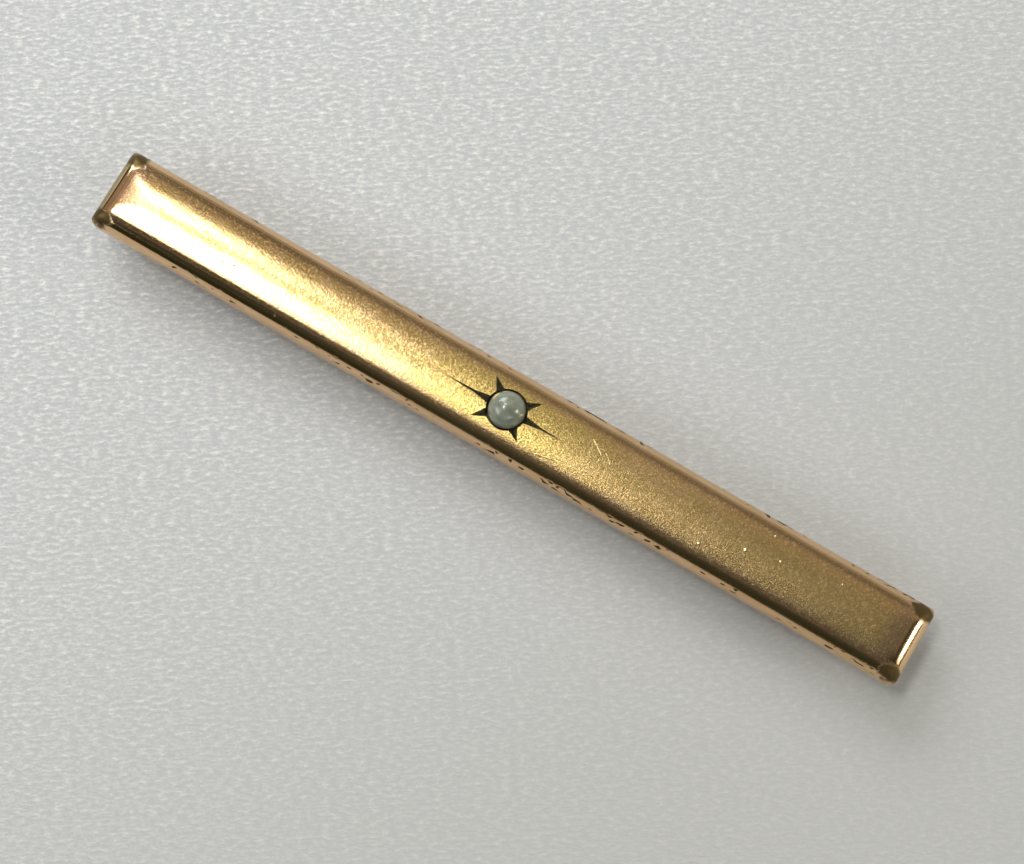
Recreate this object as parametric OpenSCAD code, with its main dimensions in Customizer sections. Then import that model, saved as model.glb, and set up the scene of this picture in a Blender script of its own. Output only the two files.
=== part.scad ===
// Bar tie pin: a die-struck metal bar with a star-set half pearl,
// and a hinged pin stem with a rotor safety catch behind it.
// Millimetres. The origin is under the middle of the bar, level with the feet of the joint and the catch.
// +X runs along the bar towards the catch, +Z runs out through the face.

/* [Bar] */

// length of the bar, end to end
bar_len = 50; // [35:0.5:70]
// width of the bar across the face
bar_w = 4.7; // [3.8:0.1:6]
// height of the front shell from its rim to the middle of its face
shell_h = 1.6; // [1.3:0.05:2.4]
// thickness of the rolled sheet the shell is struck from
sheet_t = 0.3; // [0.2:0.05:0.5]
// radius of the gentle arch across the face
crown_r = 8; // [6:0.5:30]
// radius that turns the face down into the long sides
shoulder_r = 1.1; // [0.6:0.05:1.4]
// radius that turns the face down into the two ends
end_r = 0.95; // [0.6:0.05:1.2]
// radius of the four corners seen from above
corner_r = 0.45; // [0.35:0.05:0.8]
// thickness of the plate that closes the back
plate_t = 0.25; // [0.2:0.05:0.5]
// depth of the plate inside the rim
plate_recess = 0.1; // [0.05:0.05:0.4]

/* [Pearl and star] */

// diameter of the half pearl
pearl_d = 2.05; // [1.5:0.05:2.6]
// gap all round between the pearl and the edge of its hole
pearl_gap = 0.12; // [0.08:0.01:0.2]
// depth of the pearl's widest ring under the face
pearl_sink = 0.1; // [0:0.05:0.3]
// length of the two long rays, from the edge of the hole
ray_long = 2.2; // [1:0.05:3]
// length of the four short rays, from the edge of the hole
ray_short = 0.83; // [0.4:0.02:1.2]
// angle between a short ray and the bar's length
ray_turn = 43; // [35:1:55]
// depth of every ray where it meets the hole
ray_depth = 0.24; // [0.1:0.01:0.26]
// wall of the cup behind the face
cup_wall = 0.22; // [0.15:0.01:0.35]
// thickness of the cup's floor
cup_floor = 0.15; // [0.1:0.01:0.25]
// thickness of the cement bed under the pearl
cement_bed = 0.12; // [0.05:0.01:0.2]

/* [Pin stem] */

// diameter of the pin stem
stem_d = 0.6; // [0.5:0.05:0.9]
// length of the ground point
point_len = 4; // [2.5:0.25:6]
// distance the tip reaches past the catch
tip_past = 1; // [0.5:0.1:2]
// outer diameter of the hub that the stem turns on
hub_d = 1.16; // [1:0.02:1.4]
// width of the hub between the ears
hub_w = 0.9; // [0.7:0.05:1.2]

/* [Joint] */

// distance from the end of the bar to the joint's rivet
joint_inset = 5.5; // [4:0.25:9]
// diameter of the rivet
rivet_d = 0.56; // [0.4:0.02:0.7]
// radial running clearance between the rivet and the hub's eye
eye_clear = 0.04; // [0.02:0.01:0.08]
// clearance each side of the hub
side_clear = 0.04; // [0.02:0.01:0.08]
// thickness of each ear
ear_t = 0.35; // [0.25:0.05:0.5]
// thickness of the joint's base between the ears
joint_base_t = 0.25; // [0.2:0.05:0.4]

/* [Catch] */

// distance from the end of the bar to the middle of the catch
catch_inset = 6.6; // [4.5:0.25:9]
// length of the catch along the stem
catch_len = 1.7; // [1.3:0.1:2.4]
// wall of the catch housing
housing_wall = 0.27; // [0.2:0.01:0.4]
// wall of the rotor
rotor_wall = 0.24; // [0.18:0.01:0.35]
// radial running clearance of the rotor in its housing
rotor_clear = 0.05; // [0.03:0.01:0.08]
// clearance all round the stem in the rotor's bore and its slot
stem_clear = 0.05; // [0.03:0.01:0.1]
// width of the finger tab along the stem
tab_w = 0.5; // [0.35:0.05:0.8]
// thickness of the finger tab
tab_t = 0.22; // [0.16:0.02:0.3]
// distance the tab stands out from the housing
tab_out = 0.24; // [0.15:0.01:0.35]
// angle the rotor turns through from open to shut
rotor_turn = 80; // [70:1:90]

/* [Pads] */

// thickness of the two solder pads
pad_t = 0.2; // [0.15:0.05:0.3]
// length of each pad along the bar
pad_len = 3.6; // [2.8:0.1:5]
// width of each pad
pad_w = 2.6; // [2.2:0.1:3.2]
// clearance from the turning hub to the joint's base
hub_clear = 0.12; // [0.08:0.01:0.3]
// foot height under the running parts, down to the surface the bar lies on
foot_drop = 0.22; // [0.15:0.01:0.4]

/* [Hidden] */

$fn = 96;
stem_r = stem_d / 2;
hub_r = hub_d / 2;
rivet_r = rivet_d / 2;
eye_r = rivet_r + eye_clear;
rotor_in = stem_r + stem_clear;
rotor_out = rotor_in + rotor_wall;
housing_in = rotor_out + rotor_clear;
housing_out = housing_in + housing_wall;
// height of the stem's centre line over the feet
stem_z = max(hub_r + foot_drop, housing_in + 0.16);
// heights of the layers, from the stem upwards
pad_z = max(stem_z + hub_r + hub_clear + joint_base_t, stem_z + housing_out + 0.03);
plate_z = pad_z + pad_t;
plate_top = plate_z + plate_t;
rim_z = plate_z - plate_recess;
face_z = rim_z + shell_h;
// the setting
pearl_r = pearl_d / 2;
hole_r = pearl_r + pearl_gap;
pearl_z = face_z - pearl_sink;
// the roundings stay above the plate's edge and outside the pearl's hole
end_round = min(end_r, face_z - plate_top);
wall_drop = crown_r - (face_z - plate_top - 0.02);
shoulder_room = (crown_r * crown_r - bar_w * bar_w / 4 - wall_drop * wall_drop) / (2 * crown_r - bar_w);
shoulder_round = min(shoulder_r, shoulder_room, bar_w / 2 - hole_r - 0.06);
cup_side = (crown_r - sheet_t) * (bar_w / 2 - shoulder_round) / (crown_r - shoulder_round);
cup_r = min(hole_r + cup_wall, cup_side);
cup_z = plate_top + 0.08;
bed_z = cup_z + cup_floor;
pearl_flat = bed_z + cement_bed;
cement_top = pearl_z - 0.42 * pearl_r;
// the hinge and the catch along the bar
joint_x = joint_inset - bar_len / 2;
catch_x = bar_len / 2 - catch_inset;
ear_in = hub_w / 2 + side_clear;
ear_out = ear_in + ear_t;
ear_half = hub_r + 0.08;
ear_corner = 0.25;
head_r = rivet_r + 0.14;
head_t = 0.14;
tang_side = stem_d * 0.6;
tang_x = joint_x + eye_r + 0.08;
stem_x = joint_x + hub_r + 0.02;
tip_x = catch_x + catch_len / 2 + tip_past;
point_x = tip_x - point_len;
tip_r = 0.05;
tab_rest = rotor_turn / 2;
tab_r = housing_out + tab_out;
tab_side = 0.05;
window_half = rotor_turn / 2 + 14;
skirt_corner = 0.22;

// which piece to make

// depth of the arched face under its middle line, at a distance y from it
function arch_drop(y) = crown_r - sqrt(crown_r * crown_r - y * y);

// Rectangle with four round corners, centred.
module rounded(l, w, r) {
  square([l - 2 * r, w], center = true);
  square([l, w - 2 * r], center = true);
  for (sx = [-1, 1]) {
    for (sy = [-1, 1]) {
      translate([sx * (l / 2 - r), sy * (w / 2 - r)]) circle(r = r);
    }
  }
}

// Section across the bar: upright sides, round shoulders and an arched top that runs into them without a corner.
module cross_section(w, z0, z1, arch, r) {
  arch_z = z1 - arch;
  side_y = w / 2 - r;
  side_z = arch_z + sqrt((arch - r) * (arch - r) - side_y * side_y);
  lean = side_y / (arch - r);
  reach = (arch + 2) / sqrt(1 - lean * lean);
  translate([-w / 2, z0]) square([w, side_z - z0]);
  for (s = [-1, 1]) {
    translate([s * side_y, side_z]) circle(r = r);
  }
  intersection() {
    translate([0, arch_z]) circle(r = arch, $fn = 360);
    polygon([[-side_y, side_z], [side_y, side_z],
             [(arch + 2) * lean, arch_z + reach * (1 - lean * lean)],
             [-(arch + 2) * lean, arch_z + reach * (1 - lean * lean)]]);
  }
}

// Section along the bar: flat top, round ends.
module long_section(l, z0, z1, r) {
  translate([-l / 2, z0]) square([l, z1 - r - z0]);
  translate([r - l / 2, z0]) square([l - 2 * r, z1 - z0]);
  for (s = [-1, 1]) {
    translate([s * (l / 2 - r), z1 - r]) circle(r = r);
  }
}

// Solid cushion that the shell's outside and its hollow are both cut from.
module cushion(l, w, z0, z1, arch, r_side, r_end, r_corner) {
  intersection() {
    rotate([90, 0, 90]) linear_extrude(height = l + 2, center = true) cross_section(w, z0, z1, arch, r_side);
    rotate([90, 0, 0]) linear_extrude(height = w + 2, center = true) long_section(l, z0, z1, r_end);
    translate([0, 0, z0]) linear_extrude(height = z1 - z0 + 1) rounded(l, w, r_corner);
  }
}

module shell_hollow(z0) {
  cushion(bar_len - 2 * sheet_t, bar_w - 2 * sheet_t, z0, face_z - sheet_t, crown_r - sheet_t,
          shoulder_round - sheet_t, end_round - sheet_t, corner_r - sheet_t * 0.6);
}

// One V-cut ray, its lowest edge rising from the hole to nothing at the tip.
module ray(turn, length) {
  tip = hole_r + length;
  fall_tip = arch_drop(tip * abs(sin(turn)));
  fall_hole = arch_drop(hole_r * abs(sin(turn)));
  slope = (ray_depth + fall_hole - fall_tip) / length;
  run = tip + 1;
  translate([0, 0, face_z - fall_tip - slope * tip])
    rotate([0, 0, turn])
      rotate([0, -atan(slope), 0])
        rotate([45, 0, 0]) cube([run, 1, 1]);
}

module front_shell() {
  color([0.80, 0.62, 0.36])
  difference() {
    cushion(bar_len, bar_w, rim_z, face_z, crown_r, shoulder_round, end_round, corner_r);
    shell_hollow(rim_z - 1);
    translate([0, 0, rim_z]) cylinder(r = hole_r, h = shell_h + 1);
    for (turn = [0, 180]) ray(turn, ray_long);
    for (turn = [ray_turn, 180 - ray_turn, 180 + ray_turn, 360 - ray_turn]) ray(turn, ray_short);
  }
}

module back_plate() {
  color([0.78, 0.60, 0.35])
  translate([0, 0, plate_z])
    linear_extrude(height = plate_t)
      rounded(bar_len - 2 * sheet_t, bar_w - 2 * sheet_t, corner_r - sheet_t * 0.6);
}

module pearl_cup() {
  color([0.76, 0.58, 0.33])
  difference() {
    intersection() {
      translate([0, 0, cup_z]) cylinder(r = cup_r, h = face_z - cup_z);
      translate([0, 0, face_z - crown_r])
        rotate([0, 90, 0]) cylinder(r = crown_r - sheet_t, h = 2 * cup_r + 1, center = true);
    }
    translate([0, 0, bed_z]) cylinder(r = hole_r, h = shell_h);
  }
}

module pearl_cement() {
  color([0.88, 0.84, 0.74])
  difference() {
    translate([0, 0, bed_z]) cylinder(r = hole_r, h = cement_top - bed_z);
    pearl_solid();
  }
}

module pearl_solid() {
  intersection() {
    translate([0, 0, pearl_z]) sphere(r = pearl_r);
    translate([-pearl_r, -pearl_r, pearl_flat]) cube([pearl_d, pearl_d, pearl_z + pearl_r - pearl_flat]);
  }
}

module pearl() {
  color([0.86, 0.85, 0.82]) pearl_solid();
}

module pad(x) {
  translate([x, 0, pad_z]) linear_extrude(height = pad_t) rounded(pad_len, pad_w, pad_w * 0.36);
}

module joint_pad() {
  color([0.78, 0.60, 0.35]) pad(joint_x);
}

module catch_pad() {
  color([0.78, 0.60, 0.35]) pad(catch_x);
}

// Side view of one ear: square shoulders on the base, rounded toes on the ground.
module ear_outline() {
  translate([-ear_half, ear_corner]) square([2 * ear_half, pad_z - ear_corner]);
  translate([-ear_half + ear_corner, 0]) square([2 * (ear_half - ear_corner), pad_z]);
  for (s = [-1, 1]) {
    translate([s * (ear_half - ear_corner), ear_corner]) circle(r = ear_corner);
  }
}

module pin_joint() {
  color([0.80, 0.63, 0.38])
  translate([joint_x, 0, 0])
  difference() {
    rotate([90, 0, 0]) linear_extrude(height = 2 * ear_out, center = true) ear_outline();
    translate([-ear_half - 1, -ear_in, -1]) cube([2 * ear_half + 2, 2 * ear_in, pad_z - joint_base_t + 1]);
    translate([0, 0, stem_z]) rotate([90, 0, 0]) cylinder(r = rivet_r, h = 2 * ear_out + 1, center = true);
  }
}

module joint_rivet() {
  color([0.74, 0.57, 0.33])
  translate([joint_x, 0, stem_z])
  rotate([90, 0, 0]) {
    cylinder(r = rivet_r, h = 2 * ear_out, center = true);
    for (s = [-1, 1]) {
      translate([0, 0, s * (ear_out + head_t / 2)]) cylinder(r = head_r, h = head_t, center = true);
    }
  }
}

// The squared tail of the stem, also used to cut its socket in the hub.
module stem_tang() {
  translate([tang_x, -tang_side / 2, stem_z - tang_side / 2]) cube([stem_x - tang_x, tang_side, tang_side]);
}

module pin_hub() {
  color([0.80, 0.63, 0.38])
  difference() {
    translate([joint_x, 0, stem_z]) rotate([90, 0, 0]) cylinder(r = hub_r, h = hub_w, center = true);
    translate([joint_x, 0, stem_z]) rotate([90, 0, 0]) cylinder(r = eye_r, h = hub_w + 1, center = true);
    stem_tang();
  }
}

module pin_stem() {
  color([0.82, 0.66, 0.42])
  union() {
    stem_tang();
    translate([stem_x, 0, stem_z]) rotate([0, 90, 0]) cylinder(r = stem_r, h = point_x - stem_x);
    translate([point_x, 0, stem_z]) rotate([0, 90, 0]) cylinder(r1 = stem_r, r2 = tip_r, h = point_len - tip_r);
    translate([tip_x - tip_r, 0, stem_z]) sphere(r = tip_r, $fn = 24);
  }
}

// End view of the housing: a round tunnel on two straight skirts that end in flat feet.
module housing_outline() {
  intersection() {
    translate([0, stem_z]) circle(r = housing_out);
    translate([-housing_out, stem_z]) square([2 * housing_out, housing_out]);
  }
  translate([-housing_out, skirt_corner]) square([2 * housing_out, stem_z - skirt_corner]);
  translate([-housing_out + skirt_corner, 0]) square([2 * (housing_out - skirt_corner), stem_z]);
  for (s = [-1, 1]) {
    translate([s * (housing_out - skirt_corner), skirt_corner]) circle(r = skirt_corner);
  }
  translate([-housing_out * 0.62, stem_z]) square([housing_out * 1.24, pad_z - stem_z]);
}

module catch_housing() {
  color([0.80, 0.63, 0.38])
  translate([catch_x, 0, 0])
  difference() {
    rotate([90, 0, 90]) linear_extrude(height = catch_len, center = true) housing_outline();
    translate([0, 0, stem_z]) rotate([0, 90, 0]) cylinder(r = housing_in, h = catch_len + 1, center = true);
    translate([-catch_len, -rotor_in, -1]) cube([2 * catch_len, 2 * rotor_in, stem_z + 1]);
    translate([0, 0, stem_z])
      rotate([90, 0, 90])
        linear_extrude(height = tab_w + 2 * tab_side, center = true)
          polygon([[0, 0], [2 * cos(window_half), 2 * sin(window_half)], [2.2, 0],
                   [2 * cos(window_half), -2 * sin(window_half)]]);
  }
}

module catch_rotor() {
  color([0.82, 0.66, 0.42])
  translate([catch_x, 0, stem_z])
  difference() {
    union() {
      rotate([0, 90, 0]) cylinder(r = rotor_out, h = catch_len - 0.1, center = true);
      rotate([tab_rest, 0, 0]) {
        translate([-tab_w / 2, 0, -tab_t / 2]) cube([tab_w, tab_r - tab_t / 2, tab_t]);
        translate([0, tab_r - tab_t / 2, 0]) rotate([0, 90, 0]) cylinder(r = tab_t / 2, h = tab_w, center = true);
      }
    }
    rotate([0, 90, 0]) cylinder(r = rotor_in, h = catch_len + 1, center = true);
    translate([-catch_len, -rotor_in, -2]) cube([2 * catch_len, 2 * rotor_in, 2]);
  }
}

front_shell();
back_plate();
pearl_cup();
pearl_cement();
pearl();
joint_pad();
pin_joint();
joint_rivet();
pin_hub();
pin_stem();
catch_pad();
catch_housing();
catch_rotor();
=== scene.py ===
# %% [markdown]
# # A bar tie pin with a star-set half pearl
# The real object is a strip of rolled gold sheet, struck into a long cushion, closed at the back by a flat
# plate. A half pearl sits in a cup behind a round hole, and a graver has cut six rays into the gold round it.
# On the back a pin stem turns in a joint and snaps into a small tunnel, where a rotor locks it. The packed
# CAD model gives every size and place. This lesson dresses it: finer meshes, finishes, light and a camera.

# %% Load the frame
import math
import bmesh
import bpy
from mathutils import Matrix, Vector


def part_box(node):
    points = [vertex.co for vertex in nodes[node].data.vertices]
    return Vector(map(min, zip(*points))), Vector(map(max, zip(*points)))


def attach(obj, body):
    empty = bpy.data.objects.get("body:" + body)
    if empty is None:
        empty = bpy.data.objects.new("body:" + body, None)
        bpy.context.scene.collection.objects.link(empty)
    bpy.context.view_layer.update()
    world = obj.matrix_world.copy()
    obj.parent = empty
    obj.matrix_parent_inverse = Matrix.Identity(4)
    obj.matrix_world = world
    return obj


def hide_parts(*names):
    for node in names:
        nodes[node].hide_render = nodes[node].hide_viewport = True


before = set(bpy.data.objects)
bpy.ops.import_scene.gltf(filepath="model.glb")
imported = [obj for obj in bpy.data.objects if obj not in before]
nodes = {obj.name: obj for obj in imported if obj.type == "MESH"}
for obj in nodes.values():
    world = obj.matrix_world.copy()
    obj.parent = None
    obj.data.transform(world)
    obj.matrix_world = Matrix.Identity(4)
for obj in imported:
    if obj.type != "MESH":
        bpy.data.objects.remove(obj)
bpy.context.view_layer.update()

MM = 0.001

# %% [markdown]
# ## Camera
# The pin is looked down on from nearly overhead, with its catch end turned away to the lower right. A long
# lens keeps the two ends nearly the same width, as a close-up taken from a hand's length away does. The
# camera is placed by two angles and a distance from a point on the face, so it is easy to move.

# %% Place the camera
FOCAL_LENGTHS_PER_WIDTH = 2820.8 / 1024
camera_turn = math.radians(30.53)
camera_height = math.radians(78.12)
camera_distance = 0.150
aim = Vector((0.000857, -0.0009, 0.0034))
towards_camera = Vector((math.sin(camera_turn) * math.cos(camera_height),
                         -math.cos(camera_turn) * math.cos(camera_height),
                         math.sin(camera_height)))
lens = bpy.data.cameras.new("close_up_lens")
lens.sensor_width = 36.0
lens.lens = FOCAL_LENGTHS_PER_WIDTH * lens.sensor_width
lens.clip_start = 0.005
lens.clip_end = 10.0
camera = bpy.data.objects.new("camera", lens)
camera.location = aim + towards_camera * camera_distance
camera.rotation_euler = towards_camera.to_track_quat("Z", "Y").to_euler()
bpy.context.scene.collection.objects.link(camera)
bpy.context.scene.camera = camera
print("lens", round(lens.lens, 1), "mm, camera at", [round(v, 4) for v in camera.location])

# %% [markdown]
# ## Light
# A jeweller's close-up is lit by one big window and a little light from the other side. Metal shows its
# surroundings rather than its own colour, so the window's shape matters: two panes with a bar between them
# give the double white streak, and a dim soft box overhead gives the quiet gold of the rest. Dim walls and a
# ceiling fill the bands along the shoulders. An area light shows in reflections, so the same lights light the
# cloth and draw the streaks, and two low ones soften the shadow in front of the bar.

# %% Make the lights
PANE_LEVEL = 1.0


def soft_light(name, direction, distance, width, height, radiance, colour):
    """An area light that faces the middle of the bar. radiance is what a mirror would show of it."""
    light = bpy.data.lights.new(name, "AREA")
    light.shape = "RECTANGLE"
    light.size = width
    light.size_y = height
    light.energy = radiance * math.pi * width * height
    light.color = colour
    lamp = bpy.data.objects.new(name, light)
    place = Vector(direction).normalized()
    lamp.location = place * distance
    lamp.rotation_euler = place.to_track_quat("Z", "Y").to_euler()
    bpy.context.scene.collection.objects.link(lamp)
    return lamp


def window_pane(name, middle, half_x, half_y, radiance, colour):
    """A pane hung level a metre up, so its middle and half sides are the slopes at which the bar sees it."""
    lamp = soft_light(name, (0, 0, 1), PANE_LEVEL, 2 * half_x, 2 * half_y, radiance, colour)
    lamp.location = (middle[0], middle[1], PANE_LEVEL)
    lamp.rotation_euler = (0, 0, 0)
    return lamp


DAYLIGHT = (1.0, 0.985, 0.94)
SKY = (0.97, 0.99, 1.0)
# name, middle, half width, half height, radiance, colour
for pane in (
        ("window_near_pane", (-0.305, -0.045), 0.105, 0.125, 13.0, DAYLIGHT),
        ("window_far_pane", (-0.334, 0.288), 0.076, 0.082, 13.0, DAYLIGHT),
        ("window_bar", (-0.31, 0.146), 0.11, 0.064, 0.9, (1.0, 0.93, 0.50)),
        ("window_reveal", (-0.180, 0.05), 0.025, 0.22, 0.6, (1.0, 0.93, 0.60)),
        ("skylight", (-1.45, 1.15), 0.75, 0.65, 5.5, SKY),
        ("low_daylight", (-1.40, -1.25), 0.75, 0.60, 3.2, SKY),
        ("low_fill", (1.45, -1.25), 0.75, 0.60, 1.9, SKY),
        ("rosy_wall", (-0.63, 0.14), 0.220, 0.36, 0.42, (1.0, 0.80, 0.74)),
        ("overhead_box", (0.22, 0.22), 0.35, 0.14, 0.19, (1.0, 0.94, 0.80)),
        ("dim_ceiling", (0.10, 0.62), 0.75, 0.205, 0.27, (1.0, 0.86, 0.68))):
    window_pane(*pane)
# name, direction, distance, width, height, radiance, colour
for lamp in (
        ("corner_wall", (0.68, 0.68, 0.26), 1.6, 1.8, 0.8, 0.50, (1.0, 0.95, 0.88)),
        ("side_lamp", (0.87, 0.24, 0.36), 1.1, 0.17, 0.36, 12.0, (1.0, 0.96, 0.86)),
        ("pale_backdrop", (0.0, 1.0, 0.12), 1.3, 2.6, 0.40, 0.34, (1.0, 0.97, 0.92)),
        ("dim_backdrop", (0.0, 1.0, 0.76), 1.5, 2.6, 1.34, 0.20, (1.0, 0.88, 0.70)),
        ("dim_front", (0.0, -0.50, 0.86), 1.4, 2.6, 0.36, 0.12, (1.0, 0.80, 0.80)),
        ("dim_left", (-1.0, 0.0, 0.62), 1.4, 1.6, 1.00, 0.26, (1.0, 0.84, 0.76))):
    soft_light(*lamp)

# %% [markdown]
# The room round the bench is dim. A dark world makes the dark green-brown bands along the polished shoulders.

# %% Make the dim room
room = bpy.data.worlds.new("dim_room")
room.use_nodes = True
room.node_tree.nodes["Background"].inputs["Color"].default_value = (0.026, 0.031, 0.016, 1)
room.node_tree.nodes["Background"].inputs["Strength"].default_value = 1.0
bpy.context.scene.world = room
bpy.context.scene.view_settings.view_transform = "Standard"
bpy.context.scene.view_settings.look = "None"

# %% [markdown]
# ## Small tools for node materials
# A finish is a tree of nodes. These few helpers keep the trees readable: one makes a node, one joins a value
# or another node's output to a socket, and the rest are the handful of patterns that every finish here is
# built from.

# %% Node helpers
def wire(tree, value, socket):
    """Sets a socket to a plain value, or links another socket to it."""
    if isinstance(value, bpy.types.NodeSocket):
        tree.links.new(value, socket)
    elif value is not None:
        socket.default_value = value


def calc(tree, job, a, b=None, c=None):
    """One Math node; returns its output."""
    node = tree.nodes.new("ShaderNodeMath")
    node.operation = job
    for value, socket in zip((a, b, c), node.inputs):
        wire(tree, value, socket)
    return node.outputs[0]


def step(tree, value, start, end, low=0.0, high=1.0):
    """Rises smoothly from low to high as the value goes from start to end."""
    node = tree.nodes.new("ShaderNodeMapRange")
    node.interpolation_type = "SMOOTHSTEP"
    for name, setting in (("Value", value), ("From Min", start), ("From Max", end), ("To Min", low), ("To Max", high)):
        wire(tree, setting, node.inputs[name])
    return node.outputs[0]


def tint(tree, amount, under, over):
    """Lays one colour over another by an amount from 0 to 1."""
    node = tree.nodes.new("ShaderNodeMix")
    node.data_type = "RGBA"
    wire(tree, amount, node.inputs["Factor"])
    wire(tree, under, node.inputs[6])
    wire(tree, over, node.inputs[7])
    return node.outputs[2]


def distance(tree, a, b):
    """How far off a place is, given its distances along two axes."""
    return calc(tree, "SQRT", calc(tree, "ADD", calc(tree, "MULTIPLY", a, a), calc(tree, "MULTIPLY", b, b)))


def millimetres(tree, stretch=(1, 1, 1), turn=(0, 0, 0)):
    """Object coordinates in millimetres, stretched and turned if wanted."""
    place = tree.nodes.new("ShaderNodeTexCoord")
    mapping = tree.nodes.new("ShaderNodeMapping")
    mapping.vector_type = "TEXTURE"  # turns first, stretches after
    mapping.inputs["Scale"].default_value = [MM / s if s else 1e6 for s in stretch]
    mapping.inputs["Rotation"].default_value = turn
    wire(tree, place.outputs["Object"], mapping.inputs["Vector"])
    return mapping.outputs[0]


def grain(tree, place, per_mm, detail=2.0, roughness=0.5):
    """Noise with so many lumps to the millimetre; returns a value from 0 to 1."""
    node = tree.nodes.new("ShaderNodeTexNoise")
    wire(tree, place, node.inputs["Vector"])
    node.inputs["Scale"].default_value = per_mm
    node.inputs["Detail"].default_value = detail
    node.inputs["Roughness"].default_value = roughness
    return node.outputs["Fac"]


def relief(tree, height, depth, below=None):
    """A bump whose height is given from 0 to 1 and whose depth is in metres."""
    node = tree.nodes.new("ShaderNodeBump")
    node.inputs["Distance"].default_value = depth
    node.inputs["Strength"].default_value = 1.0
    wire(tree, height, node.inputs["Height"])
    wire(tree, below, node.inputs["Normal"])
    return node.outputs[0]


def new_finish(name):
    """An empty material with one Principled shader; returns the material, its tree and the shader."""
    finish = bpy.data.materials.new(name)
    finish.use_nodes = True
    return finish, finish.node_tree, finish.node_tree.nodes["Principled BSDF"]


print("node helpers ready")

# %% [markdown]
# ## Gold finishes for the findings
# The joint, catch and plate are the same metal in three states: buffed bright, dull where no buff reaches,
# and drawn wire. Each is a metal whose colour drifts between two golds, with hairlines left by polishing and
# darker tarnish in patches. One function makes all three, because only the colours, the gloss and the
# run of the hairlines differ.

# %% Make the plain golds
def gold_finish(name, light, deep, tarnish, gloss, hairline, soil):
    """Gold with drifting colour, hairlines that run as stretched, and patches of tarnish."""
    finish, tree, shader = new_finish(name)
    place = millimetres(tree)
    cloud = grain(tree, place, 0.9, 4.0, 0.6)
    lines = grain(tree, millimetres(tree, hairline), 9.0, 2.0, 0.6)
    patches = grain(tree, place, 2.3, 6.0, 0.65)
    dirt = calc(tree, "MULTIPLY", step(tree, patches, 0.52, 0.70), soil)
    colour = tint(tree, step(tree, cloud, 0.35, 0.65), deep, light)
    colour = tint(tree, calc(tree, "MULTIPLY", lines, 0.25), colour, deep)
    wire(tree, tint(tree, dirt, colour, tarnish), shader.inputs["Base Color"])
    shader.inputs["Metallic"].default_value = 1.0
    rough = calc(tree, "MULTIPLY_ADD", lines, 0.16, gloss - 0.05)
    wire(tree, calc(tree, "MULTIPLY_ADD", dirt, 0.28, rough), shader.inputs["Roughness"])
    fine = relief(tree, lines, 0.0000035)
    wire(tree, relief(tree, patches, 0.000006, fine), shader.inputs["Normal"])
    return finish


bright_gold = gold_finish("buffed_gold", (0.90, 0.64, 0.34, 1), (0.72, 0.46, 0.22, 1), (0.16, 0.10, 0.045, 1),
                          0.17, (0.35, 1, 1), 0.75)
dull_gold = gold_finish("unbuffed_gold", (0.66, 0.46, 0.23, 1), (0.45, 0.29, 0.13, 1), (0.10, 0.065, 0.03, 1),
                        0.36, (1, 1, 1), 1.0)
plate_gold = gold_finish("back_plate_gold", (0.82, 0.57, 0.31, 1), (0.62, 0.41, 0.20, 1), (0.17, 0.11, 0.05, 1),
                         0.24, (0.05, 1.5, 1), 0.8)
wire_gold = gold_finish("drawn_wire_gold", (0.92, 0.68, 0.38, 1), (0.74, 0.50, 0.25, 1), (0.20, 0.13, 0.06, 1),
                        0.15, (0.08, 1, 1), 0.5)
print("golds:", [m.name for m in bpy.data.materials if "gold" in m.name])

# %% [markdown]
# ## The struck face
# The face was stippled by the die, the shoulders were polished by a century of cuffs, and the colour drifts
# from olive to rose. Three masks, all from Object coordinates in millimetres, steer it: how far out on the
# shoulder, how near an end, and how near the star. Wear shows as dark specks where the thin gold has gone
# from the edge, old soil stays in the four corners, and a few dents and scratches catch the light.
# Some of the colour is painted light: a yellow sheen round the star, shade on the right half and along the long edges,
# a mauve reflection before each end, a dark reflection along the left end and glints on the grit.

# %% Measure the bar for its masks
bar_low, bar_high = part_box("front_shell")
half_length = (bar_high.x - bar_low.x) / 2
half_width = (bar_high.y - bar_low.y) / 2
face_z = bar_high.z
rim_z = bar_low.z
length_mm = half_length / MM
width_mm = half_width / MM
print("bar", round(2 * length_mm, 2), "x", round(2 * width_mm, 2), "mm, face at", round(face_z / MM, 2), "mm")


# %% Name the colours and list the marks
# several of these colours are painted light rather than the gold's own tone: the star sheen, the right-half shade, the
# mauve reflection by the ends, the edge shade, the grit glints and the left end reflection
OLD_GOLD, STRAW, PAINTED_STAR_SHEEN = (0.66, 0.455, 0.20, 1), (0.78, 0.54, 0.28, 1), (0.72, 0.54, 0.17, 1)
PAINTED_RIGHT_SHADE, PAINTED_MAUVE_REFLECTION, PAINTED_EDGE_SHADE = (0.56, 0.385, 0.18, 1), (0.52, 0.33, 0.25, 1), (0.50, 0.32, 0.22, 1)
GRIT_LOW, PAINTED_GRIT_GLINT = (0.38, 0.27, 0.09, 1), (1.0, 0.78, 0.36, 1)
ROSE_GOLD, PALE_ROSE, BURNISHED = (0.76, 0.50, 0.27, 1), (0.84, 0.57, 0.33, 1), (1.0, 0.80, 0.52, 1)
PAINTED_LEFT_END_REFLECTION, SOIL = (0.20, 0.175, 0.050, 1), (0.080, 0.054, 0.012, 1)
# x, y and radius in millimetres
DENTS = ((12.4, -1.08, 0.10), (14.7, -0.1, 0.12), (16.6, 0.3, 0.09), (15.7, 1.35, 0.07), (20.0, 0.9, 0.07))
# x and y of the middle, lean in radians and half length
SCRATCHES = ((5.2, 0.7, -0.62, 0.55), (6.0, 0.45, -0.70, 0.35), (-5.6, -0.55, 0.62, 0.5), (3.0, -1.2, 0.2, 0.6))
# depths of the relief in metres
STIPPLE_DEPTH, GRIT_DEPTH, WAVE_DEPTH, MARK_DEPTH = 2.5e-6, 4.5e-6, 1.2e-6, 16e-6
print(len(DENTS), "dents and", len(SCRATCHES), "scratches")


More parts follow.
